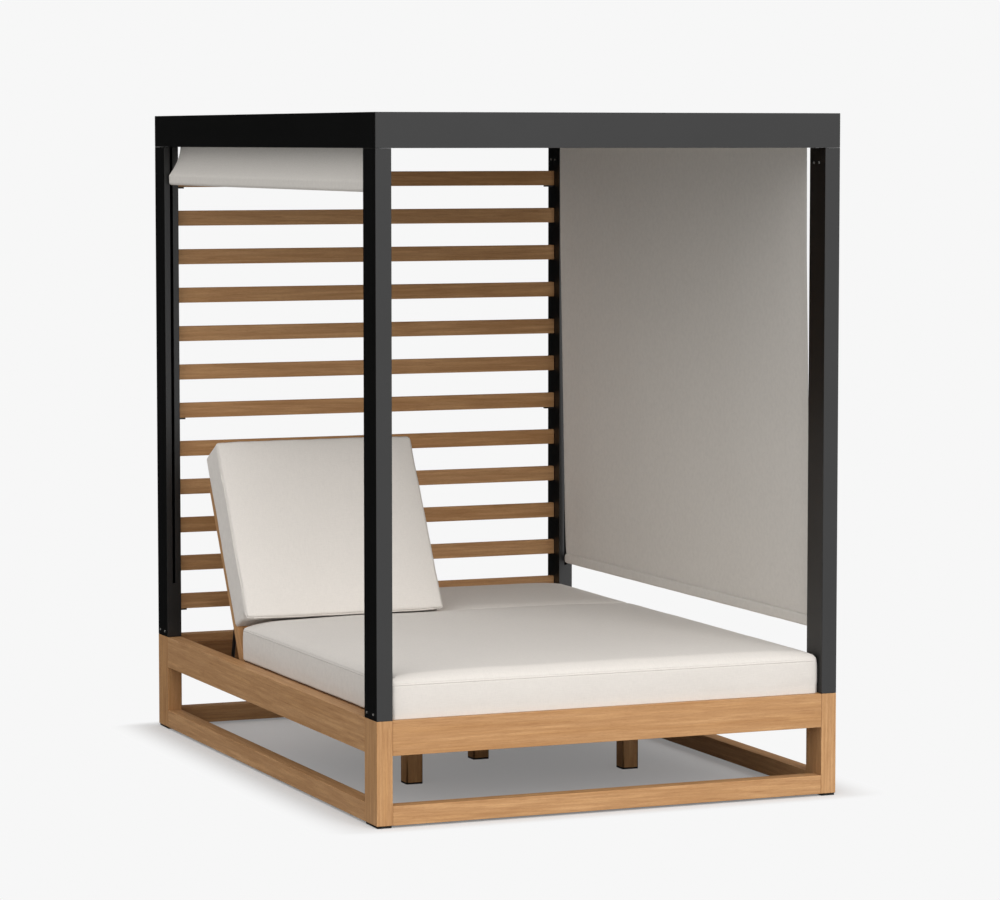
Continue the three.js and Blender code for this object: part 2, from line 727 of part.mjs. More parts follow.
// Shades: the left one is rolled up, the right one is drawn down
function addShades() {
  for (const [side, sign] of sides) {
    const strip = extrudeAlongY(clothOutline(side), 2 * clothHalf);
    const cloth = addPiece(daybed, `shade_cloth_${side}`, strip, shadeCloth, 0, 0, 0);
    cloth.rotation.z = sign < 0 ? 2 * rightAngle : 0;
    const wound = woundRadius[side];
    const spindle = innerHalfLength - seatGap;
    const roller = join([
      rodAlongY(wound, -clothHalf, clothHalf, 0, 0),
      rodAlongY(rollerSpindleRadius, -spindle, spindle, 0, 0)
    ]);
    const rollerX = sign * (clothX - clothThickness / 2 - seatGap - wound);
    addPiece(daybed, `shade_roller_${side}`, roller, metal, rollerX, 0, rollerHeight);
    const pin = hemHalf + hemPinReach;
    const hem = join([
      extrudeAlongY(roundedRectangle(hemThickness, hemHeight, hemCorner), 2 * hemHalf),
      rodAlongY(hemPinRadius, -pin, pin, 0, 0)
    ]);
    const hemZ = hemBottom[side] + hemHeight / 2;
    addPiece(daybed, `hem_bar_${side}`, hem, shadeCloth, sign * postX, 0, hemZ);
  }
}

addLegs();
addRails();
addCarriers();
addSupportLegs();
addSeatDeck();
addHinge();
addBackrests();
addSeatCushion();
addPosts();
addCanopy();
addHeadboard();
addShades();

export default daybed;
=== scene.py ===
import json
import math
import random

import bmesh
import bpy
from mathutils import Matrix, Vector, noise
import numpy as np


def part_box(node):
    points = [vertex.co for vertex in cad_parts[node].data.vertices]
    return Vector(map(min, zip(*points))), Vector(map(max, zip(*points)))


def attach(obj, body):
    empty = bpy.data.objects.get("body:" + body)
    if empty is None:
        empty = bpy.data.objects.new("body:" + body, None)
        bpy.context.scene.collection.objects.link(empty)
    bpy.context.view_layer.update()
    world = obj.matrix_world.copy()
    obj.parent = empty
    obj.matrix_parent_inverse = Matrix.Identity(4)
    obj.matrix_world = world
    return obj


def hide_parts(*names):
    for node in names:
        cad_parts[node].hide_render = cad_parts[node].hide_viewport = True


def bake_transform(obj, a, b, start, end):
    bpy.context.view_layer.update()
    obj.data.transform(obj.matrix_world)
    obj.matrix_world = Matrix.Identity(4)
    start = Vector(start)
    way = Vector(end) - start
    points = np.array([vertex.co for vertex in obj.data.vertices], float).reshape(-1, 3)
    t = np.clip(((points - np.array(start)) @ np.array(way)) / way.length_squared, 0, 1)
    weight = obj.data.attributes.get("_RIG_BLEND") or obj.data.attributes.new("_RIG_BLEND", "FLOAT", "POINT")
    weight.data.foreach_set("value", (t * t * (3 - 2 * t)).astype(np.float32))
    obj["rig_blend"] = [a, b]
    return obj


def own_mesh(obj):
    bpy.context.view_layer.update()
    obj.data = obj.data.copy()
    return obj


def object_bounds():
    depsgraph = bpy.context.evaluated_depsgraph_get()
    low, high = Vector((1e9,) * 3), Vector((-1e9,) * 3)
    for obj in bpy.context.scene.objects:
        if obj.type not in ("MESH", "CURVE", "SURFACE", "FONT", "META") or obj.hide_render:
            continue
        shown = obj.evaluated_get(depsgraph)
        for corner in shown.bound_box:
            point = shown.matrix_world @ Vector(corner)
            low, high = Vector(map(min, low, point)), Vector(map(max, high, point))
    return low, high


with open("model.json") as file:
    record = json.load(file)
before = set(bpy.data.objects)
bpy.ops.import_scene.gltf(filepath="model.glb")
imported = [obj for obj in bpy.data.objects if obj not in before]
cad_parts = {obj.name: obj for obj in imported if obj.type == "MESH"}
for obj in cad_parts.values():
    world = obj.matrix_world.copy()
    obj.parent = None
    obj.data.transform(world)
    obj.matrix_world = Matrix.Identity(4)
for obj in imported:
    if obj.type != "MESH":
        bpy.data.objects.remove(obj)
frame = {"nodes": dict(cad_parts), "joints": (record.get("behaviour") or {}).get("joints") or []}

cad_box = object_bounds()
scene = bpy.context.scene
scene.view_settings.view_transform = "Standard"

# Camera
# A long lens looks at the bed from ahead of its left front corner, from just under the canopy's
# height. The picture was cropped a little off centre, which the two shifts follow.
camera_lens = bpy.data.cameras.new("camera")
camera_lens.sensor_width = 36.0
camera_lens.lens = 134.60
camera_lens.shift_x = -0.0018
camera_lens.shift_y = -0.00315
camera_lens.clip_end = 200.0
camera = bpy.data.objects.new("camera", camera_lens)
camera.location = (-4.5524, -11.1506, 2.0049)
camera.rotation_euler = (math.radians(85.305), 0.0, math.radians(-22.5735))
scene.collection.objects.link(camera)
scene.camera = camera


# Corner legs and glides
# Four upright legs of oiled teak, 50 by 102 mm, carry the rails and the canopy posts. Their edges
# are eased by hand, and each leg stands on a black moulded glide nailed under its foot.
class Wire:
    """A value in a finish's nodes, used in sums as a number is."""

    def __init__(self, finish, socket):
        self.finish = finish
        self.socket = socket

    def sum(self, operation, first, second):
        return self.finish.add("Math", {"operation": operation}, {0: first, 1: second})

    def __add__(self, other):
        return self.sum("ADD", self, other)

    def __sub__(self, other):
        return self.sum("SUBTRACT", self, other)

    def __rsub__(self, other):
        return self.sum("SUBTRACT", other, self)

    def __mul__(self, other):
        return self.sum("MULTIPLY", self, other)

    def __pow__(self, other):
        return self.sum("POWER", self, other)

    __radd__ = __add__


class Finish:
    """The nodes of one material, or of a given tree. Every node comes from add()."""

    def __init__(self, name, tree=None):
        if tree is None:
            self.material = bpy.data.materials.new(name)
            self.material.use_nodes = True
            tree = self.material.node_tree
        self.tree = tree
        self.tree.nodes.clear()

    def add(self, kind, settings, sockets, out=0):
        node = self.tree.nodes.new("ShaderNode" + kind)
        for name, value in settings.items():
            setattr(node, name, value)
        for name, value in sockets.items():
            if isinstance(value, Wire):
                self.tree.links.new(value.socket, node.inputs[name])
            else:
                node.inputs[name].default_value = value
        return Wire(self, node.outputs[out]) if node.outputs else node

    def mix(self, share, first, second, blend="MIX"):
        kind = {"data_type": "RGBA", "blend_type": blend}
        return self.add("Mix", kind, {0: share, 6: first, 7: second}, out=2)

    def vector(self, operation, first, second=(0.0, 0.0, 0.0), out=0):
        return self.add("VectorMath", {"operation": operation}, {0: first, 1: second}, out)

    def ramp(self, value, start, end, first=0.0, last=1.0):
        """Runs smoothly from first to last while value goes from start to end."""
        sockets = {"Value": value, "From Min": start, "From Max": end, "To Min": first, "To Max": last}
        return self.add("MapRange", {"interpolation_type": "SMOOTHSTEP"}, sockets)

    def noise(self, place, size, detail=3.0, roughness=0.55):
        """Noise on a place vector, with one size in metres for all axes or one for each."""
        across = (1.0 / size,) * 3 if isinstance(size, float) else [1.0 / part for part in size]
        scaled = self.vector("MULTIPLY", place, across)
        sockets = {"Vector": scaled, "Scale": 1.0, "Detail": detail, "Roughness": roughness}
        return self.add("TexNoise", {}, sockets)

    def bump(self, height, depth, strength=1.0):
        return self.add("Bump", {}, {"Height": height, "Distance": depth, "Strength": strength})

    def cover(self, sockets):
        shader = self.add("BsdfPrincipled", {}, sockets)
        self.add("OutputMaterial", {}, {"Surface": shader})
        return self.material


def screen(red, green, blue):
    """A colour as a screen shows it, from 0 to 255, as linear light."""
    parts = [part / 255.0 for part in (red, green, blue)]
    return (*[part / 12.92 if part < 0.04 else ((part + 0.055) / 1.055) ** 2.4 for part in parts], 1.0)


def teak_finish(name, pale, deep, line, roughness):
    """Oiled teak: broad streaks and year rings along each board, with fine fibres and pores."""
    wood = Finish(name)
    grain = wood.add("Attribute", {"attribute_name": "grain"}, {}, out="Vector")
    tone = wood.add("Attribute", {"attribute_name": "tone"}, {}, out="Fac")
    streak = wood.noise(grain, (0.42, 0.013, 0.013), detail=4.0)
    flame = wood.noise(grain, (0.10, 0.0065, 0.0065), detail=3.0, roughness=0.6)
    fold = wood.noise(grain, (0.34, 0.017, 0.017), detail=2.5, roughness=0.5) * 2.0 - 1.0
    vein = (1.0 - fold * fold) ** 14.0
    fibre = wood.noise(grain, (0.06, 0.0014, 0.0014), detail=4.0, roughness=0.65)
    pore = wood.noise(grain, (0.014, 0.00045, 0.00045), detail=2.0)
    drawn_out = wood.vector("MULTIPLY", grain, (0.045, 1.0, 1.0))
    shape = {"wave_type": "RINGS", "rings_direction": "X", "wave_profile": "SAW"}
    growth = {"Vector": drawn_out, "Scale": 34.0, "Distortion": 5.5, "Detail": 2.5, "Detail Scale": 0.55}
    ring = wood.add("TexWave", shape, growth, out="Fac")
    apart = wood.vector("MULTIPLY", grain, (3.1, 30.0, 30.0))
    near = wood.add("TexVoronoi", {}, {"Vector": apart, "Scale": 1.0}, out="Distance")
    knot = wood.ramp(near, 0.03, 0.11, 1.0, 0.0)
    colour = wood.mix(streak * 1.5 - 0.25 + (tone - 0.5) * 0.5, pale, deep)
    colour = wood.mix((ring ** 3.0) * 0.26 * (streak * 1.4), colour, line)
    colour = wood.mix(vein * 0.34, colour, line)
    colour = wood.mix(flame * 1.9 - 1.02, colour, line)
    colour = wood.mix(fibre * 1.4 - 0.66, colour, line)
    colour = wood.mix((pore ** 5.0) * 3.0, colour, line)
    colour = wood.mix(knot * 0.5, colour, line)
    relief = fibre * 0.7 + pore * 0.3 - ring * 0.15
    return wood.cover({
        "Base Color": colour,
        "Roughness": roughness + fibre * 0.16,
        "Normal": wood.bump(relief, 0.0006, 0.45),
        "Specular IOR Level": 0.35,
    })


def moulded_finish(name, colour, roughness, coarse):
    """Black moulded or coated stock with a fine even texture."""
    coat = Finish(name)
    place = coat.add("TexCoord", {}, {}, out="Object")
    texture = coat.noise(place, coarse, detail=2.0)
    cloud = coat.noise(place, 0.22, detail=2.0)
    worn = [part * 1.7 for part in colour[:3]] + [1.0]
    return coat.cover({
        "Base Color": coat.mix(cloud * 0.8 - 0.2, colour, worn),
        "Roughness": roughness + cloud * 0.06,
        "Normal": coat.bump(texture, coarse * 0.12, 0.35),
        "Specular IOR Level": 0.6,
    })


timber_draw = random.Random(11)
heart_reaches = ((-9, 9), (-0.03, 0.03), (0.04, 0.1))
rise_lean = 0.025
side_lean = 0.012


def mark_grain(bm, points, run):
    """Gives each point its place in the log: along axis run, across the board and out from the
    heart. Each board comes from another stretch of the log, lies a little askew and has a tone."""
    grain = bm.verts.layers.float_vector["grain"]
    tone = bm.verts.layers.float["tone"]
    low = [min(point.co[axis] for point in points) for axis in range(3)]
    high = [max(point.co[axis] for point in points) for axis in range(3)]
    cross = [axis for axis in range(3) if axis != run]
    broad, thin = sorted(cross, key=lambda axis: low[axis] - high[axis])
    heart = Vector([timber_draw.uniform(*reach) for reach in heart_reaches])
    lean = Matrix.Rotation(timber_draw.uniform(-rise_lean, rise_lean), 3, "Y")
    lean = lean @ Matrix.Rotation(timber_draw.uniform(-side_lean, side_lean), 3, "Z")
    share = timber_draw.random()
    for point in points:
        place = [point.co[axis] - (low[axis] + high[axis]) / 2 for axis in (run, broad, thin)]
        point[grain] = lean @ Vector(place) + heart
        point[tone] = share


def shape_of(node):
    """A bmesh with a node's own shape, its points joined and its flat faces made whole."""
    bm = bmesh.new()
    bm.from_mesh(frame["nodes"][node].data)
    bmesh.ops.remove_doubles(bm, verts=bm.verts, dist=0.00001)
    bmesh.ops.dissolve_limit(bm, angle_limit=0.01, verts=bm.verts, edges=bm.edges)
    return bm


def start_timber(node=None):
    """A bmesh for boards with room for their grain, empty or with a node's own shape."""
    bm = shape_of(node) if node else bmesh.new()
    bm.verts.layers.float_vector.new("grain")
    bm.verts.layers.float.new("tone")
    return bm


def ease_edges(bm, edges, width, segments=2):
    """Rounds these edges, as a plane or a file does."""
    return bmesh.ops.bevel(
        bm, geom=edges, offset=width, offset_type="OFFSET", segments=segments, profile=0.5,
        affect="EDGES", material=-1, clamp_overlap=True,
    )


def sharp_edges(bm, angle=1.0):
    """The edges where the surface turns by more than this angle."""
    return [edge for edge in bm.edges if edge.calc_face_angle(0.0) > angle]


def edges_along(bm, axis, length):
    """The edges that run further than this length along one axis."""
    return [edge for edge in bm.edges if abs(edge.verts[0].co[axis] - edge.verts[1].co[axis]) > length]


def add_block(bm, low, high):
    """Adds a square block between two corners, and returns its points."""
    low, high = Vector(low), Vector(high)
    place = Matrix.LocRotScale((low + high) / 2, None, high - low)
    return bmesh.ops.create_cube(bm, size=1.0, matrix=place)["verts"]


def lay_board(bm, low, high, eased=0.0015):
    """Adds a planed board between two corners, its grain along its longest side."""
    known = set(bm.verts)
    edges = {edge for point in add_block(bm, low, high) for edge in point.link_edges}
    ease_edges(bm, list(edges), eased)
    points = [point for point in bm.verts if point not in known]
    size = Vector(high) - Vector(low)
    mark_grain(bm, points, max(range(3), key=lambda axis: size[axis]))


def finish_piece(name, bm, material, nodes, body=None):
    """Makes a bmesh a piece that has its finish, stands for its nodes and rides on its body."""
    mesh = bpy.data.meshes.new(name)
    bm.to_mesh(mesh)
    bm.free()
    mesh.shade_smooth()
    mesh.materials.append(material)
    piece = bpy.data.objects.new(name, mesh)
    scene.collection.objects.link(piece)
    piece.modifiers.new("flat_faces", "WEIGHTED_NORMAL")
    if nodes:
        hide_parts(*nodes)
    if body:
        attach(piece, body)
    return piece


teak = teak_finish(
    "oiled_teak", screen(221, 176, 127), screen(196, 148, 96), screen(146, 98, 56), roughness=0.5
)
black_plastic = moulded_finish("black_plastic", screen(18, 18, 18), roughness=0.5, coarse=0.0012)

glide_edge = 0.002
corners = [(end, side) for end in ("front", "back") for side in ("left", "right")]
for end, side in corners:
    name = f"leg_{end}_{side}"
    leg = start_timber()
    lay_board(leg, *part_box(name))
    finish_piece(f"teak_{name}", leg, teak, [name], "base")
    name = f"glide_{end}_{side}"
    glide = bmesh.new()
    low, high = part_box(name)
    add_block(glide, low, high)
    foot_edges = [edge for edge in glide.edges if max(point.co.z for point in edge.verts) < high.z]
    ease_edges(glide, foot_edges, glide_edge, 3)
    finish_piece(f"moulded_{name}", glide, black_plastic, [name], "base")

# Aprons and bottom stretchers
# Rails of the same 50 mm teak, tenoned into the legs. The aprons are 103 mm deep and carry the
# deck's carriers, and the stretchers lie just off the floor.
for name in ("apron", "stretcher"):
    for place in ("front", "back", "left", "right"):
        rail = start_timber()
        lay_board(rail, *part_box(f"{name}_{place}"))
        finish_piece(f"teak_{name}_{place}", rail, teak, [f"{name}_{place}"], "base")

# Ledgers, centre rail and cross beam
# Plain sawn teak screwed inside the aprons. Each ledger and the rail are notched along their rear
# half, where the foot of a backrest's prop drops in, and the beam is halved over the rail.
sawn_teak = teak_finish(
    "sawn_teak", screen(182, 136, 88), screen(148, 102, 60), screen(98, 62, 34), roughness=0.6
)
carrier_edge = 0.0008
for name, run in (("ledger_left", 1), ("ledger_right", 1), ("centre_rail", 1), ("cross_beam", 0)):
    carrier = start_timber(name)
    ease_edges(carrier, sharp_edges(carrier, 0.5), carrier_edge, 1)
    mark_grain(carrier, list(carrier.verts), run)
    finish_piece(f"sawn_{name}", carrier, sawn_teak, [name], "base")

# Back battens
# Two thin sawn boards close the gap between the carriers inside the back apron. They are nailed to
# the apron, a little under its top, and stay clear of the backrests.
thin_edge = 0.001
batten_thickness = 0.014
batten_rise = 0.004
batten_drop = 0.027
apron_low, apron_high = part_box("apron_back")
rail_low, rail_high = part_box("centre_rail")
bays = {
    "left": (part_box("ledger_left")[1].x, rail_low.x),
    "right": (rail_high.x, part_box("ledger_right")[0].x),
}
for side, (start, end) in bays.items():
    batten = start_timber()
    batten_low = (start, apron_low.y - batten_thickness, apron_low.z + batten_rise)
    lay_board(batten, batten_low, (end, apron_low.y, apron_high.z - batten_drop), thin_edge)
    finish_piece(f"sawn_back_batten_{side}", batten, sawn_teak, [], "base")

# Support legs
# Three square posts with rounded corners carry the cross beam and the centre rail. Each ends in a
# thin black cap that keeps the teak off the ground.
cap_height = 0.0055
corner_radius = 0.006
fullness = Vector((0.0025, 0.0025, 0.0))
for place in ("left", "right", "middle"):
    name = f"support_leg_{place}"
    low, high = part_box(name)
    low, high = low - fullness, high + fullness
    stem = start_timber()
    add_block(stem, low + Vector((0.0, 0.0, cap_height)), high)
    ease_edges(stem, edges_along(stem, 2, cap_height), corner_radius, 5)
    mark_grain(stem, list(stem.verts), 2)
    finish_piece(f"teak_{name}", stem, teak, [name], "base")
    cap = bmesh.new()
    add_block(cap, low, (high.x, high.y, cap_height))
    ease_edges(cap, edges_along(cap, 2, cap_height / 2), corner_radius, 5)
    finish_piece(f"moulded_cap_{place}", cap, black_plastic, [], "base")

# Seat deck
# Twelve sawn slats lie across the bed, 10 mm apart, and are screwed to two battens under them, so
# the deck lifts out as one panel.
def middle_x(node):
    """Where a node's middle lies across the bed."""
    return sum(corner.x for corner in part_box(node)) / 2


low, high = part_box("seat_deck")
deck_slat_count = 12
deck_slat_gap = 0.010
deck_slat_thickness = 0.018
batten_width = 0.040
batten_inset = 0.012
batten_place = middle_x("backrest_frame_right")
pitch = (high.y - low.y + deck_slat_gap) / deck_slat_count
slat_bottom = high.z - deck_slat_thickness
deck = start_timber()
for index in range(deck_slat_count):
    start = low.y + index * pitch
    slat_high = (high.x, start + pitch - deck_slat_gap, high.z)
    lay_board(deck, (low.x, start, slat_bottom), slat_high, thin_edge)
for side in (-1, 1):
    edge = side * batten_place - batten_width / 2
    batten_front = (edge, low.y + batten_inset, low.z)
    batten_rear = (edge + batten_width, high.y - batten_inset, slat_bottom)
    lay_board(deck, batten_front, batten_rear, thin_edge)
finish_piece("sawn_seat_deck", deck, sawn_teak, ["seat_deck"], "base")

# Hinge rod and centre plate
# A black steel rod of 10 mm runs across the bed through both backrests. Its ends sit in the side
# aprons, and a steel plate on the centre rail holds its middle.
black_steel = moulded_finish("black_steel", screen(22, 22, 22), roughness=0.36, coarse=0.0009)


def turn_round(bm, middle, along, segments, first, last):
    """Adds a round solid with a middle, a direction and length, and its two radii. Returns its points."""
    turned = Vector((0.0, 0.0, 1.0)).rotation_difference(along).to_matrix().to_4x4()
    return bmesh.ops.create_cone(
        bm, cap_ends=True, cap_tris=False, segments=segments, radius1=first, radius2=last,
        depth=along.length, matrix=Matrix.Translation(middle) @ turned,
    )["verts"]


def turn_rod(bm, start, end, radius, eased=0.0008):
    """Adds a round rod between two points, with its rims eased."""
    start, end = Vector(start), Vector(end)
    rod = turn_round(bm, (start + end) / 2, end - start, 24, radius, radius)
    rims = {edge for point in rod for edge in point.link_edges if edge.calc_face_angle(0.0) > 1.0}
    ease_edges(bm, list(rims), eased)


low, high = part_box("hinge_rod")
hinge = (low + high) / 2
rod = bmesh.new()
turn_rod(rod, (low.x, hinge.y, hinge.z), (high.x, hinge.y, hinge.z), (high.z - low.z) / 2)
finish_piece("steel_hinge_rod", rod, black_steel, ["hinge_rod"], "base")
plate_edge = 0.0006
plate = shape_of("centre_hinge_plate")
ease_edges(plate, sharp_edges(plate), plate_edge)
finish_piece("steel_hinge_plate", plate, black_steel, ["centre_hinge_plate"], "base")

# Backrest frames
# Two teak frames side by side turn on the hinge rod. Each has two stiles with ten thin slats let in
# flush with their front, and a rail across the back of the top.
def joint_range(name, measure):
    """The two limits of a joint, under the measure's name."""
    return next(joint for joint in frame["joints"] if joint["name"] == name)[measure]


raised_angle = -math.radians(joint_range("left_backrest_hinge", "range_deg")[0])
tilts = {"left": raised_angle, "right": 0.0}
stile_width = 0.022
stile_edge = 0.002
back_slat_count = 10
back_slat_gap = 0.0105
back_slat_thickness = 0.0135
frame_foot = 0.025
flat_low, flat_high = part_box("backrest_frame_right")
frame_width = flat_high.x - flat_low.x
frame_reach = flat_high.y - hinge.y
face = (flat_high.z - flat_low.z) / 2
frame_centres = {side: middle_x(f"backrest_frame_{side}") for side in tilts}


def swing(side, centre=0.0):
    """Places a piece drawn on its backrest's hinge: X across, Y up the frame and Z out of its front."""
    return Matrix.Translation((centre, hinge.y, hinge.z)) @ Matrix.Rotation(tilts[side], 4, "X")


for side in tilts:
    back = start_timber()
    half = frame_width / 2
    for sign in (-1, 1):
        outer = sign * half
        inner = sign * (half - stile_width)
        stile_low = (min(outer, inner), -frame_foot, -face)
        lay_board(back, stile_low, (max(outer, inner), frame_reach, face), stile_edge)
    pitch = (frame_reach + frame_foot + back_slat_gap) / back_slat_count
    for index in range(back_slat_count):
        start = index * pitch - frame_foot
        slat_low = (stile_width - half, start, face - back_slat_thickness)
        slat_high = (half - stile_width, start + pitch - back_slat_gap, face)
        lay_board(back, slat_low, slat_high, thin_edge)
    rail_low = (stile_width - half, frame_reach - stile_width, -face)
    rail_high = (half - stile_width, frame_reach, face - back_slat_thickness)
    lay_board(back, rail_low, rail_high, thin_edge)
    bmesh.ops.transform(back, matrix=swing(side, frame_centres[side]), verts=back.verts)
    finish_piece(
        f"teak_backrest_{side}", back, teak, [f"backrest_frame_{side}"], f"{side}_backrest"
    )

# Props
# Each backrest is held up by a bail of 12 mm steel rod, bent square at its foot. The foot drops
# into a notch of the carriers, and a pin through the eye of each arm turns in a stile.
prop_radius = 0.006
prop_bend = 0.020
eye_radius = 0.0065
pin_radius = 0.0045
pin_reach = 0.012
prop_pivot = 0.243
prop_side_gap = 0.0005
prop_lean = math.radians(16.5)
prop_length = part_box("prop_right")[1].y - prop_radius - hinge.y - prop_pivot
arm_place = frame_width / 2 - stile_width - prop_side_gap - prop_radius
prop_turns = {"left": prop_lean - raised_angle - math.pi / 2, "right": 0.0}


def draw_on(bm, ring, step):
    """Lengthens an open tube from its last ring of edges by one straight step."""
    made = bmesh.ops.extrude_edge_only(bm, edges=ring)["geom"]
    points = [part for part in made if isinstance(part, bmesh.types.BMVert)]
    bmesh.ops.translate(bm, verts=points, vec=step)
    fresh = set(points)
    return [part for part in made if isinstance(part, bmesh.types.BMEdge) and set(part.verts) <= fresh]


def bend_on(bm, ring, centre, quarter):
    """Bends an open tube a quarter turn about the Z line through centre."""
    made = bmesh.ops.spin(
        bm, geom=ring, cent=centre, axis=(0.0, 0.0, 1.0), angle=quarter, steps=8, use_merge=False
    )
    return [part for part in made["geom_last"] if isinstance(part, bmesh.types.BMEdge)]


for side in tilts:
    bail = bmesh.new()
    start = Matrix.Translation((-arm_place, 0.0, 0.0)) @ Matrix.Rotation(math.pi / 2, 4, "X")
    section = bmesh.ops.create_circle(bail, cap_ends=False, segments=20, radius=prop_radius, matrix=start)
    ring = list({edge for point in section["verts"] for edge in point.link_edges})
    arm = prop_length - prop_bend
    ring = draw_on(bail, ring, (0.0, arm, 0.0))
    ring = bend_on(bail, ring, (prop_bend - arm_place, arm, 0.0), -math.pi / 2)
    ring = draw_on(bail, ring, (2 * (arm_place - prop_bend), 0.0, 0.0))
    ring = bend_on(bail, ring, (arm_place - prop_bend, arm, 0.0), -math.pi / 2)
    draw_on(bail, ring, (0.0, -arm, 0.0))
    bmesh.ops.remove_doubles(bail, verts=bail.verts, dist=0.00001)
    bmesh.ops.holes_fill(bail, edges=[edge for edge in bail.edges if edge.is_boundary])
    bmesh.ops.recalc_face_normals(bail, faces=bail.faces)
    pin_end = frame_width / 2 - stile_width + pin_reach
    for sign in (-1, 1):
        eye = sign * arm_place
        turn_rod(bail, (eye - prop_radius, 0.0, 0.0), (eye + prop_radius, 0.0, 0.0), eye_radius)
        turn_rod(bail, (eye, 0.0, 0.0), (sign * pin_end, 0.0, 0.0), pin_radius)
    place = swing(side, frame_centres[side]) @ Matrix.Translation((0.0, prop_pivot, 0.0))
    place = place @ Matrix.Rotation(prop_turns[side], 4, "X")
    bmesh.ops.transform(bail, matrix=place, verts=bail.verts)
    finish_piece(f"steel_prop_{side}", bail, black_steel, [f"prop_{side}"], f"{side}_prop")

# Canopy posts
# Aluminium tube, 50 by 102 mm, powder coated in charcoal. A slot down each inner face guides the
# shade's hem bar, and hexagon socket screws fix the tube at its head and foot.
powder_coat = moulded_finish("powder_coat", screen(17, 17, 17), roughness=0.37, coarse=0.0010)
screw_steel = moulded_finish("screw_steel", screen(128, 127, 122), roughness=0.3, coarse=0.0009)
coated_edge = 0.0011
screw_radius = 0.0045
screw_top_share = 0.72
screw_rim_share = 0.3
screw_rise = 0.0018


def drive_screw(bm, head, outward):
    """Adds a low screw head with a socket sunk in it, on a surface at head and facing outward."""
    outward = Vector(outward)
    top_radius = screw_top_share * screw_radius
    cone = turn_round(bm, head, outward * 2 * screw_rise, 18, screw_radius, top_radius)
    sides = [part for point in cone for part in point.link_faces]
    top = max(sides, key=lambda part: part.calc_center_median().dot(outward))
    rim = screw_rim_share * screw_radius
    bmesh.ops.inset_region(bm, faces=[top], thickness=rim, use_even_offset=True)
    bmesh.ops.translate(bm, verts=top.verts, vec=outward * -screw_rise)


head_row = (0.027, 0.061)
head_drop = 0.045
foot_row = (0.029, 0.082)
foot_rise = 0.017
for end, side in corners:
    name = f"post_{end}_{side}"
    post = shape_of(name)
    ease_edges(post, sharp_edges(post), coated_edge)
    finish_piece(f"coated_{name}", post, powder_coat, [name], "base")
    low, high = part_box(name)
    sign, inner, outer = (-1, high.x, low.x) if side == "left" else (1, low.x, high.x)
    fixings = [(inner, high.y - back, high.z - head_drop, -sign) for back in head_row]
    fixings += [(outer, low.y + ahead, low.z + foot_rise, sign) for ahead in foot_row]
    screws = bmesh.new()
    for x, y, z, outward in fixings:
        drive_screw(screws, (x, y, z), (outward, 0.0, 0.0))
    finish_piece(f"post_screws_{end}_{side}", screws, screw_steel, [], "base")

# Canopy beams and roof sheet
# Four hollow beams, mitred at the corners, stand on the posts, and a thin coated sheet lies inside
# them, just under their top.
sheet_edge = 0.0008
for place in ("front", "back", "left", "right"):
    beam = shape_of(f"beam_{place}")
    ease_edges(beam, sharp_edges(beam, 0.6), coated_edge)
    finish_piece(f"coated_beam_{place}", beam, powder_coat, [f"beam_{place}"], "base")
roof = bmesh.new()
add_block(roof, *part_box("roof_panel"))
ease_edges(roof, roof.edges[:], sheet_edge)
finish_piece("coated_roof_sheet", roof, powder_coat, ["roof_panel"], "base")

# Headboard slats and brackets
# Twelve level teak slats run between the back posts. They hang on screws through the posts, and
# the top, seventh and bottom ones also rest on small black angle brackets.
head_slat_count = 12
head_slat_edge = 0.002
bracket_size = Vector((0.034, 0.018, 0.005))
bracket_edge = 0.0005
bracket_screw_radius = 0.004
bracketed = (1, 7, 12)
for number in range(1, head_slat_count + 1):
    name = f"headboard_slat_{number}"
    low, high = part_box(name)
    slat = start_timber()
    lay_board(slat, low, high, head_slat_edge)
    finish_piece(f"teak_{name}", slat, teak, [name], "base")
    if number in bracketed:
        bracket = bmesh.new()
        thickness = Vector((0.0, 0.0, bracket_size.z))
        for sign, end in ((-1, low), (1, high)):
            ledge_x = end.x - sign * bracket_size.x / 2
            ledge = Vector((ledge_x, (low.y + high.y) / 2, low.z - bracket_size.z / 2))
            add_block(bracket, ledge - bracket_size / 2, ledge + bracket_size / 2)
            nose = ledge + Vector((sign * bracket_size.x / 4, 0.0, 0.0)) - thickness
            turn_rod(bracket, nose, nose + thickness, bracket_screw_radius)
        ease_edges(bracket, sharp_edges(bracket), bracket_edge)
        finish_piece(f"steel_bracket_{number}", bracket, black_steel, [], "base")

# Shade rollers
# Each side has a roller inside its beam, with the screen cloth wound on a tube that turns on two
# spindles. The spindles sit in the end beams.


def woven_finish(name, colour, thread, sheen, cloud_depth):
    """Plain weave of uneven yarns that cross, with soft cloudy changes of tone."""
    cloth = Finish(name)
    place = cloth.add("Attribute", {"attribute_name": "cloth"}, {}, out="Vector")
    warp = cloth.noise(place, (thread, 14 * thread, 14 * thread), detail=2.0)
    weft = cloth.noise(place, (14 * thread, thread, thread), detail=2.0)
    weave = warp + weft
    cloud = cloth.noise(place, 0.28, detail=3.0)
    dark = [part * 0.72 for part in colour[:3]] + [1.0]
    shaded = cloth.mix((weave - 0.8) * 0.5 + (cloud - 0.5) * cloud_depth, colour, dark)
    return cloth.cover({
        "Base Color": shaded,
        "Roughness": 0.86 + warp * 0.1,
        "Normal": cloth.bump(weave, thread * 0.4, 0.5),
        "Sheen Weight": sheen,
        "Sheen Roughness": 0.5,
        "Specular IOR Level": 0.2,
    })


def mark_cloth(bm):
    """Keeps each point's place in the sewn cloth, so that the weave moves with it."""
    layer = bm.verts.layers.float_vector.new("cloth")
    for point in bm.verts:
        point[layer] = point.co


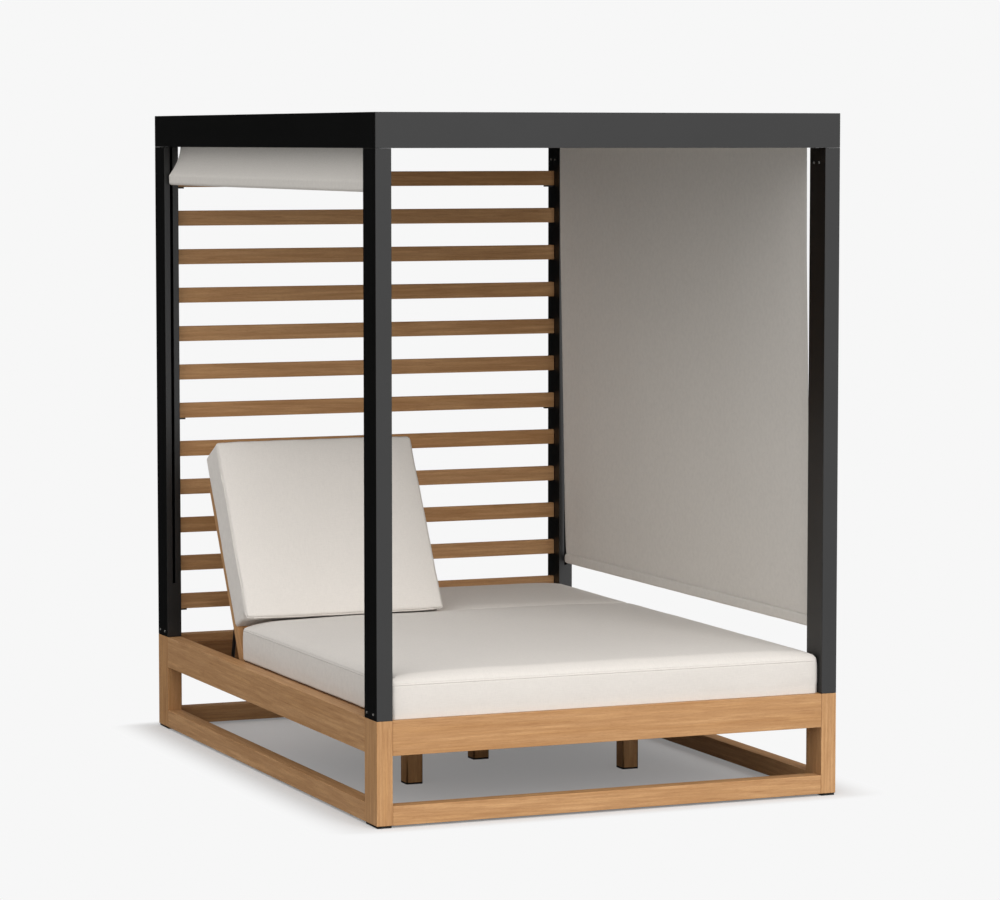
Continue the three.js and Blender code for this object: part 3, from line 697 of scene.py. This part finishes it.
shade_cloth = woven_finish(
    "screen_cloth", screen(219, 214, 207), thread=0.0011, sheen=0.05, cloud_depth=0.12
)
cloth_thickness = 0.0012
wound_layers = 9
roll_gap = 0.0005
spindle_radius = 0.005
for side in tilts:
    name = f"shade_roller_{side}"
    low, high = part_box(name)
    axis_x = middle_x(name)
    axis_z = (low.z + high.z) / 2
    wound = (high.z - low.z) / 2 - roll_gap
    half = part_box(f"shade_cloth_{side}")[1].y
    roll = bmesh.new()
    place = Matrix.Translation((axis_x, 0.0, axis_z)) @ Matrix.Rotation(math.pi / 2, 4, "X")
    bmesh.ops.create_cone(
        roll, cap_ends=True, cap_tris=False, segments=64, radius1=wound, radius2=wound,
        depth=2 * half, matrix=place,
    )
    for end in (-1, 1):
        cap = max(roll.faces, key=lambda part: part.calc_center_median().y * end)
        for layer in range(wound_layers):
            bmesh.ops.inset_region(roll, faces=[cap], thickness=cloth_thickness, use_even_offset=True)
            step = cloth_thickness / (2 if layer % 2 else -2)
            bmesh.ops.translate(roll, verts=cap.verts, vec=(0.0, step * end, 0.0))
    mark_cloth(roll)
    finish_piece(f"cloth_roll_{side}", roll, shade_cloth, [name], f"{side}_shade_roller")
    spindle = bmesh.new()
    turn_rod(spindle, (axis_x, low.y, axis_z), (axis_x, high.y, axis_z), spindle_radius)
    finish_piece(f"roller_spindle_{side}", spindle, black_steel, [], f"{side}_shade_roller")

# Shade cloths
# A strip of warm grey screen cloth comes off each roller and runs down the side of the bed. It is
# sewn round the hem bar, and the free edges of a drawn cloth curl a little towards the inside.
cloth_columns = 90
curl_width = 0.035
gather_height = 0.05


def hang_cloth(side, profile, curl=0.0, ripple=0.0, gather=0.0):
    """Hangs a strip along a profile of X and Z points, with curled edges, soft vertical ripples, and
    its foot gathered in where it enters the hem."""
    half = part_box(f"shade_cloth_{side}")[1].y
    steps = [0.0]
    for before, after in zip(profile, profile[1:]):
        steps.append(steps[-1] + math.dist(before, after))
    bm = bmesh.new()
    rows = len(profile) - 1
    bmesh.ops.create_grid(bm, x_segments=cloth_columns, y_segments=rows, size=0.5)
    sign = -1 if side == "left" else 1
    for point in bm.verts:
        row = round((0.5 - point.co.y) * rows)
        x, z = profile[row]
        y = 2 * half * point.co.x
        down = steps[row] / steps[-1]
        edge = math.exp(-(((half - abs(y)) / curl_width) ** 2))
        wave = math.sin(y * 11.0 + 0.6) * math.sin(y * 4.3) * math.sin(math.pi * down)
        y *= 1.0 - gather * math.exp(-(steps[-1] - steps[row]) / gather_height) / half
        point.co = (x - sign * (curl * edge * min(1.0, down * 4) - ripple * wave), y, z)
    bmesh.ops.recalc_face_normals(bm, faces=bm.faces)
    mark_cloth(bm)
    bmesh.ops.solidify(bm, geom=bm.faces[:], thickness=cloth_thickness)
    name = f"screen_cloth_{side}"
    piece = finish_piece(name, bm, shade_cloth, [f"shade_cloth_{side}"])
    return piece


def spread(start, end, count):
    """Points in even steps from start up to end, with end left out."""
    return [tuple(a + (b - a) * index / count for a, b in zip(start, end)) for index in range(count)]


def sweep_round(centre, radius, first, last, count):
    """Points round an arc in X and Z, from one angle to another."""
    turns = [first + (last - first) * index / count for index in range(count + 1)]
    return [(centre[0] + radius * math.cos(turn), centre[1] + radius * math.sin(turn)) for turn in turns]


beam_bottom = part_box("beam_left")[0].z
cloth_top = {side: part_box(f"shade_cloth_{side}")[1].z for side in tilts}
hem_boxes = {side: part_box(f"hem_bar_{side}") for side in tilts}
hem_middles = {side: (hem_boxes[side][0] + hem_boxes[side][1]) / 2 for side in tilts}
hem_half_width = (hem_boxes["right"][1].x - hem_boxes["right"][0].x) / 2
hem_corner = 0.008

cloth_gap = 0.0008
right_low, right_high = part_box("shade_cloth_right")
right_x = right_low.x + cloth_gap
right_hem_x = hem_middles["right"].x
right_profile = spread((right_x, cloth_top["right"]), (right_x, beam_bottom), 4)
right_profile += spread((right_x, beam_bottom), (right_hem_x, right_low.z), 60)
right_profile.append((right_hem_x, right_low.z))
right_cloth = hang_cloth("right", right_profile, curl=0.006, ripple=0.0015, gather=0.007)
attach(right_cloth, "base")
right_travel = joint_range("right_shade_slide", "range_m")[1]
right_drop = beam_bottom - right_low.z
(right_drop - right_travel) / right_drop
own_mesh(right_cloth)

hem_cover = 0.0014
flare_drop = 0.004
flare_steps = 12
left_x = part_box("shade_cloth_left")[1].x - cloth_gap
left_outer = hem_middles["left"].x - hem_half_width - hem_cover
hem_low = hem_boxes["left"][0].z
hem_high = hem_boxes["left"][1].z
left_profile = spread((left_x, cloth_top["left"]), (left_x, beam_bottom), 4)
flare_top = Vector((left_x, beam_bottom))
flare_turn = Vector((left_x, (beam_bottom + hem_high) / 2 + flare_drop))
flare_end = Vector((left_outer, hem_high - flare_drop))
for index in range(flare_steps):
    share = index / flare_steps
    bend = flare_top.lerp(flare_turn, share).lerp(flare_turn.lerp(flare_end, share), share)
    left_profile.append(tuple(bend))
left_profile += spread(tuple(flare_end), (left_outer, hem_low + hem_corner), 4)
turn_radius = hem_corner + hem_cover
turn_centre = (left_outer + turn_radius, hem_low + hem_corner)
left_profile += sweep_round(turn_centre, turn_radius, math.pi, 1.5 * math.pi, 6)
left_cloth = hang_cloth("left", left_profile)
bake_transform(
    left_cloth, "base", "left_hem_bar", start=(left_x, 0, beam_bottom), end=(left_x, 0, hem_high)
)

# Hem bars
# The cloth's lower end is sewn into a pocket round a flat weighted bar. A steel pin in each end of
# the bar runs in the slot of a post, so the shade stays level.
hem_round = 0.013
hem_waves = ((0.0006, 23.0, 0.0), (0.0004, 51.0, 1.0))
hem_pin_radius = 0.0032
pin_grip = 0.02
bar_half = right_high.y + 0.003
for side in tilts:
    low, high = hem_boxes[side]
    middle = hem_middles[side]
    size = Vector((2 * hem_half_width, 2 * bar_half, high.z - low.z))
    bar = bmesh.new()
    add_block(bar, middle - size / 2, middle + size / 2)
    ease_edges(bar, edges_along(bar, 0, hem_half_width), hem_round, 6)
    ease_edges(bar, sharp_edges(bar, 0.9), hem_corner, 5)
    bmesh.ops.subdivide_edges(bar, edges=edges_along(bar, 1, bar_half), cuts=60, use_grid_fill=False)
    for point in bar.verts:
        y = point.co.y
        point.co.x += sum(height * math.sin(y * turn + shift) for height, turn, shift in hem_waves)
    mark_cloth(bar)
    finish_piece(
        f"sewn_hem_{side}", bar, shade_cloth, [f"hem_bar_{side}"], f"{side}_hem_bar"
    )
    pins = bmesh.new()
    for sign in (-1, 1):
        pin_start = (middle.x, sign * (bar_half - pin_grip), middle.z)
        turn_rod(pins, pin_start, (middle.x, sign * high.y, middle.z), hem_pin_radius)
    finish_piece(f"hem_pins_{side}", pins, black_steel, [], f"{side}_hem_bar")

# Seat cushion
# One wide boxed pad of quick-dry foam in an off-white woven cover, with a felled seam near the top
# of its side. Its rear lower edge is slanted, so that a raised backrest's frame stands clear of it.
cushion_cloth = woven_finish(
    "cushion_cover", screen(220, 214, 207), thread=0.0013, sheen=0.12, cloud_depth=0.1
)
swell_pressure = 4.0
swell_frames = 20


def blow_up(piece, cap):
    """Lets the cover swell round its foam, with each point held within cap of where it was cut."""
    rest = [point.co.copy() for point in piece.data.vertices]
    cloth = piece.modifiers.new("foam", "CLOTH")
    cloth.settings.use_pressure = True
    cloth.settings.uniform_pressure_force = swell_pressure
    cloth.settings.effector_weights.gravity = 0.0
    cloth.settings.quality = 4
    cloth.point_cache.frame_start = 1
    cloth.point_cache.frame_end = swell_frames
    for step in range(1, swell_frames + 1):
        scene.frame_set(step)
    baked = piece.evaluated_get(bpy.context.evaluated_depsgraph_get())
    swollen = [point.co.copy() for point in baked.data.vertices]
    piece.modifiers.remove(cloth)
    scene.frame_set(1)
    for point, before, after in zip(piece.data.vertices, rest, swollen):
        move = after - before
        if move.length > cap:
            move = move.normalized() * cap
        point.co = before + move


def sew_pad(size, voxel, cap, corner=0.012):
    """A boxed pad about the middle of its underside, cut small and blown up. Returns a bmesh."""
    width, length, height = size
    bm = bmesh.new()
    inner = Vector((width - 2 * cap, length - 2 * cap, height - cap))
    add_block(bm, (-inner.x / 2, -inner.y / 2, 0.0), (inner.x / 2, inner.y / 2, inner.z))
    ease_edges(bm, edges_along(bm, 2, height / 2), corner, 6)
    ease_edges(bm, sharp_edges(bm), cap, 4)
    mesh = bpy.data.meshes.new("cover")
    bm.to_mesh(mesh)
    bm.free()
    blank = bpy.data.objects.new("cover", mesh)
    scene.collection.objects.link(blank)
    remesh = blank.modifiers.new("even_faces", "REMESH")
    remesh.mode = "VOXEL"
    remesh.voxel_size = voxel
    depsgraph = bpy.context.evaluated_depsgraph_get()
    even = bpy.data.meshes.new_from_object(blank.evaluated_get(depsgraph))
    blank.modifiers.clear()
    blank.data = even
    blow_up(blank, cap)
    bm = bmesh.new()
    bm.from_mesh(blank.data)
    bpy.data.objects.remove(blank)
    bmesh.ops.subdivide_edges(bm, edges=bm.edges, cuts=1, use_grid_fill=True, smooth=0.6)
    bmesh.ops.smooth_vert(bm, verts=bm.verts, factor=0.5, use_axis_x=True, use_axis_y=True, use_axis_z=True)
    return bm


def cut_across(bm, place, facing=(0.0, 0.0, 1.0), clear=False):
    """Cuts a cover through along a plane, and clears what lies behind the plane if told to."""
    bmesh.ops.bisect_plane(
        bm, geom=bm.verts[:] + bm.edges[:] + bm.faces[:], dist=0.0002,
        plane_co=place, plane_no=facing, clear_inner=clear,
    )


edge_strip = 0.0015
front_fullness_reach = 0.2
swelling_kept = 0.1
wall_rumples = ((30.0, 0.0008), (8.0, 0.0014))
top_rumple = 0.0018


def draw_in(bm, size, seam, corners, foot, run, rise, falls, fuller=0.0, belly=0.0):
    """Draws a swollen cover in to its cut: level walls up to the seam, a shoulder of this run and
    rise above it, and a crowned top that falls off toward the sides, the front and the rear. The
    corners are the front and the rear ones, and the shoulder is fuller along the front. A share of
    the swelling stays. Below foot the wall runs straight down to a sharp edge."""
    half_width, half_length, height = size[0] / 2, size[1] / 2, size[2]
    ends = [[pick(point.co[axis] for point in bm.verts) for pick in (min, max)] for axis in range(3)]
    for point in bm.verts:
        share = [(point.co[axis] - ends[axis][0]) / (ends[axis][1] - ends[axis][0]) for axis in range(3)]
        x, y = (2 * share[0] - 1) * half_width, (2 * share[1] - 1) * half_length
        z = share[2] * height
        swollen = Vector((x, y, z))
        corner = corners[y > 0.0]
        beyond = Vector((abs(x) - half_width + corner, abs(y) - half_length + corner))
        outside = Vector((max(beyond.x, 0.0), max(beyond.y, 0.0)))
        if outside.length:
            inside = corner - outside.length
            out = outside.normalized()
        else:
            inside = corner - max(beyond)
            out = Vector((1.0, 0.0)) if beyond.x > beyond.y else Vector((0.0, 1.0))
        out = Vector((math.copysign(out.x, x), math.copysign(out.y, y), 0.0))
        crown = (1 - abs(x / half_width) ** falls[0]) * (1 - abs(y / half_length) ** falls[1 + (y > 0.0)])
        ahead = math.exp(-(((half_length + y) / front_fullness_reach) ** 2))
        front = fuller * ahead * (1 - abs(x / half_width) ** 8)
        high_rise, wide_run = rise + front, run + 2 * front
        top = seam + high_rise + (height - seam - high_rise) * crown
        inside_before = inside
        if z > seam and inside < wide_run:
            across, up = 1 - inside / wide_run, (z - seam) / (top - seam)
            reach = (across ** 1.5 + up ** 1.5) ** (1 / 1.5)
            inside, z = wide_run * (1 - across / reach), seam + (top - seam) * up / reach
        elif z > seam:
            z = top
        elif z < inside:
            z = 0.0
        else:
            inside = -belly * math.sin(math.pi * z / seam)
        cut = Vector((x, y, z)) + out * (inside_before - inside)
        rumple = sum(noise.noise(cut * pitch) * depth for pitch, depth in wall_rumples)
        cut = cut.lerp(swollen, swelling_kept) - out * rumple
        if z > seam:
            cut.z += noise.noise(cut * 5.0) * top_rumple * min(1.0, (z - seam) / rise)
        point.co = cut
    cut_across(bm, (0.0, 0.0, foot), clear=True)
    rim = [edge for edge in bm.edges if edge.is_boundary]
    for drop in (foot - edge_strip, edge_strip):
        rim = draw_on(bm, rim, (0.0, 0.0, -drop))
    bmesh.ops.holes_fill(bm, edges=rim)
    bmesh.ops.recalc_face_normals(bm, faces=bm.faces)


def stitch_seam(bm, height, pitch, half_width, depth):
    """Sinks two narrow channels round the pad, a pitch apart, and leaves a low ridge between them."""
    rows = [(height, -depth), (height - pitch, -depth), (height - pitch / 2, 0.6 * depth)]
    levels = {height + half_width, height - pitch - half_width}
    for level in sorted(levels | {row for row, move in rows}):
        cut_across(bm, (0.0, 0.0, level))
    bm.normal_update()
    for point in bm.verts:
        side = Vector((point.normal.x, point.normal.y, 0.0))
        for row, move in rows:
            if abs(point.co.z - row) < 0.0003 and side.length > 0.3:
                point.co += side.normalized() * move


press_share = 0.6
press_across = 0.06
press_along = 0.15


def press_corner(bm, size, seam):
    """Presses the top down at its left rear corner, where the raised backrest's pad leans on it."""
    for point in bm.verts:
        if point.co.z > seam:
            across = (size[0] / 2 + point.co.x) / press_across
            along = (size[1] / 2 - point.co.y) / press_along
            share = press_share * math.exp(-across * across - along * along)
            point.co.z -= share * (point.co.z - seam)


undercut_height = 0.009
undercut_width = 0.015
undercut_fade = 0.05
undercut_start = 0.5
undercut_gain = 1.2
undercut_levels = (0.06, 0.17, 0.35, 0.6, 1.0)


def round_sides_under(bm, size):
    """Rounds the lower edge of the two long sides, which lie free beside the aprons."""
    for share in undercut_levels:
        cut_across(bm, (0.0, 0.0, share * undercut_height))
    for point in bm.verts:
        depth = 1 - point.co.z / undercut_height
        if depth > 0.0:
            behind = (point.co.y + size[1] / 2) / undercut_fade - undercut_start
            aside = 1 - (size[0] / 2 - abs(point.co.x)) / undercut_fade
            fade = min(1.0, max(0.0, behind)) * min(1.0, max(0.0, undercut_gain * aside))
            inward = undercut_width * (1 - math.sqrt(1 - min(1.0, depth) ** 2)) * fade
            point.co.x -= math.copysign(inward, point.co.x)


low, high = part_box("seat_cushion")
seat_size = (high.x - low.x, high.y - low.y, high.z - low.z)
seat_seam = 0.103
seam_pitch = 0.005
seam_half_width = 0.002
seam_depth = 0.0024
seat_pad = sew_pad(seat_size, voxel=0.015, cap=0.012)
draw_in(
    seat_pad, seat_size, seat_seam, corners=(0.010, 0.045), foot=0.024, run=0.028, rise=0.018,
    falls=(5.5, 7, 11), fuller=0.009, belly=0.0025,
)
press_corner(seat_pad, seat_size, seat_seam)
round_sides_under(seat_pad, seat_size)
stitch_seam(seat_pad, seat_seam, seam_pitch, seam_half_width, 0.6 * seam_depth)
mark_cloth(seat_pad)
seat_place = Matrix.Translation((middle_x("seat_cushion"), (low.y + high.y) / 2, low.z))
bmesh.ops.transform(seat_pad, matrix=seat_place, verts=seat_pad.verts)
frame_gap = 0.001
slant = swing("left") @ Matrix.Translation((0.0, 0.0, face + frame_gap))
cut_across(seat_pad, slant.translation, slant.to_3x3().col[2], clear=True)
bmesh.ops.holes_fill(seat_pad, edges=[edge for edge in seat_pad.edges if edge.is_boundary])
bmesh.ops.recalc_face_normals(seat_pad, faces=seat_pad.faces)
seat_cushion = finish_piece(
    "sewn_seat_cushion", seat_pad, cushion_cloth, ["seat_cushion"], "base"
)

# Back cushions
# Two loose pads of the same make lie on the backrests, with the seam right at the edge of their
# front. The left one leans back with its frame and the right one lies flat.
low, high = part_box("back_cushion_right")
back_size = (high.x - low.x, high.y - low.y, high.z - low.z)
back_seam = 0.109
underside = low.z - hinge.z
flat_start = low.y - hinge.y
cushion_travel = joint_range("right_back_cushion_slide", "range_m")[1]
fold_depth = 0.009
fold_drop = 0.020
fold_spread = 0.012
top_corner_share = 0.75
front_corner_share = 0.7


def tuck_corners(bm, size, seam):
    """Folds the cover in at the two lower corners, where it is gathered under the seam."""
    for point in bm.verts:
        sign = math.copysign(1.0, point.co.x)
        away = math.hypot(point.co.x - sign * size[0] / 2, point.co.y + size[1] / 2)
        below = seam - point.co.z - fold_drop
        fold = fold_depth * math.exp(-((away / fold_spread) ** 2) - (below / fold_spread) ** 2)
        point.co += Vector((-sign * fold, fold, 0.0))


def settle(bm, size, seam, stretch, sag):
    """Lets the pad's top end stand a little proud and its front sag onto the seat at the other end."""
    for point in bm.verts:
        share = point.co.y / size[1]
        front = max(0.0, min(1.0, point.co.z / seam)) ** 2
        middle = 1 - abs(2 * point.co.x / size[0]) ** 6
        if share > 0.0:
            full = top_corner_share + (1 - top_corner_share) * middle
            point.co.y += 2 * share * stretch * full
        else:
            full = front_corner_share + (1 - front_corner_share) * middle
            point.co.y += 2 * share * front * sag * full


top_stretch = {"left": 0.017, "right": 0.004}
sag = {"left": 0.022, "right": 0.0}
crown_falls = {"left": (6, 6, 9), "right": (6, 14, 9)}
pad_size = (back_size[0] - 0.004, back_size[1], back_size[2])
for side in tilts:
    pad = sew_pad(back_size, voxel=0.011, cap=0.010)
    draw_in(
        pad, pad_size, back_seam, corners=(0.007, 0.009), foot=0.018, run=0.009, rise=0.009,
        falls=crown_falls[side],
    )
    stitch_seam(pad, back_seam + seam_pitch, seam_pitch, seam_half_width, seam_depth)
    tuck_corners(pad, back_size, back_seam)
    settle(pad, back_size, back_seam, top_stretch[side], sag[side])
    mark_cloth(pad)
    start = flat_start + (cushion_travel if side == "left" else 0.0)
    place = swing(side, middle_x(f"back_cushion_{side}"))
    place = place @ Matrix.Translation((0.0, start + back_size[1] / 2, underside))
    bmesh.ops.transform(pad, matrix=place, verts=pad.verts)
    cushion = finish_piece(
        f"sewn_back_cushion_{side}", pad, cushion_cloth,
        [f"back_cushion_{side}"], f"{side}_back_cushion",
    )
    if sag[side]:
        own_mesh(cushion)

# Floor, backdrop and lights
# The bed stands on a plain pale floor that is shaded under the bed and runs out into a plain pale
# backdrop. The room's light is stronger ahead of the bed, and one wide lamp high in front adds to it.
backdrop_shade = 0.93
floor_shade = 0.76
bounce_shade = 0.42
shade_reach = 0.18
shade_share = 0.8
floor = bmesh.new()
bmesh.ops.create_grid(floor, x_segments=1, y_segments=1, size=14.0)
ground = Finish("studio_floor")
place = ground.add("TexCoord", {}, {}, out="Object")
reach = tuple(cad_box[1])
past = ground.vector("ABSOLUTE", place)
past = ground.vector("SUBTRACT", past, (reach[0], reach[1], 0.0))
past = ground.vector("MULTIPLY", past, (1.0, 2.0, 0.0))
past = ground.vector("MAXIMUM", past)
fade = ground.ramp(ground.vector("LENGTH", past, out="Value"), 0.0, shade_reach)
seen = ground.add("LightPath", {}, {}, out="Is Camera Ray")
mirrored = ground.add("LightPath", {}, {}, out="Is Glossy Ray")
seen_colour = (floor_shade, floor_shade, floor_shade, 1.0)
bounce_colour = (bounce_shade, bounce_shade, bounce_shade, 1.0)
lit = ground.add("BsdfDiffuse", {}, {"Color": ground.mix(seen, bounce_colour, seen_colour)})
clear = ground.add("Emission", {}, {"Color": (1.0, 1.0, 1.0, 1.0), "Strength": backdrop_shade})
cleared = seen * (fade * shade_share + (1 - shade_share))
shown = ground.add("MixShader", {}, {0: cleared, 1: lit, 2: clear})
open_air = ground.add("BsdfTransparent", {}, {})
shown = ground.add("MixShader", {}, {0: mirrored * fade, 1: shown, 2: open_air})
ground.add("OutputMaterial", {}, {"Surface": shown})
floor_mesh = bpy.data.meshes.new("studio_floor")
floor.to_mesh(floor_mesh)
floor.free()
floor_mesh.materials.append(ground.material)
floor_piece = bpy.data.objects.new("studio_floor", floor_mesh)
scene.collection.objects.link(floor_piece)

shine_direction = (0.75, -0.66, 0.05)
light_direction = (-0.17, -0.865, 0.475)
room = bpy.data.worlds.new("room")
room.use_nodes = True
scene.world = room
sky = Finish("room", room.node_tree)
straight = sky.add("LightPath", {}, {}, out="Is Camera Ray")
mirror = sky.add("LightPath", {}, {}, out="Is Glossy Ray")
direction = sky.add("TexCoord", {}, {}, out="Generated")
toward_shine = sky.vector("DOT_PRODUCT", direction, shine_direction, out="Value")
reflected = sky.ramp(toward_shine, -0.35, 0.75, 0.006, 1.0)
toward_light = sky.vector("DOT_PRODUCT", direction, light_direction, out="Value")
ambient = sky.ramp(toward_light, -0.2, 0.9, 0.53, 1.22)
strength = (1 - straight) * (1 - mirror) * ambient + straight * backdrop_shade
strength = strength + mirror * (1 - straight) * reflected
glow = sky.add("Background", {}, {"Color": (1.0, 1.0, 1.0, 1.0), "Strength": strength})
sky.add("OutputWorld", {}, {"Surface": glow})

lamp_direction = Vector((-0.14, 0.84, -0.53))
key_light = bpy.data.lights.new("key", "SUN")
key_light.energy = 1.25
key_light.angle = math.radians(40)
key = bpy.data.objects.new("key", key_light)
key.rotation_euler = lamp_direction.to_track_quat("-Z", "Y").to_euler()
scene.collection.objects.link(key)
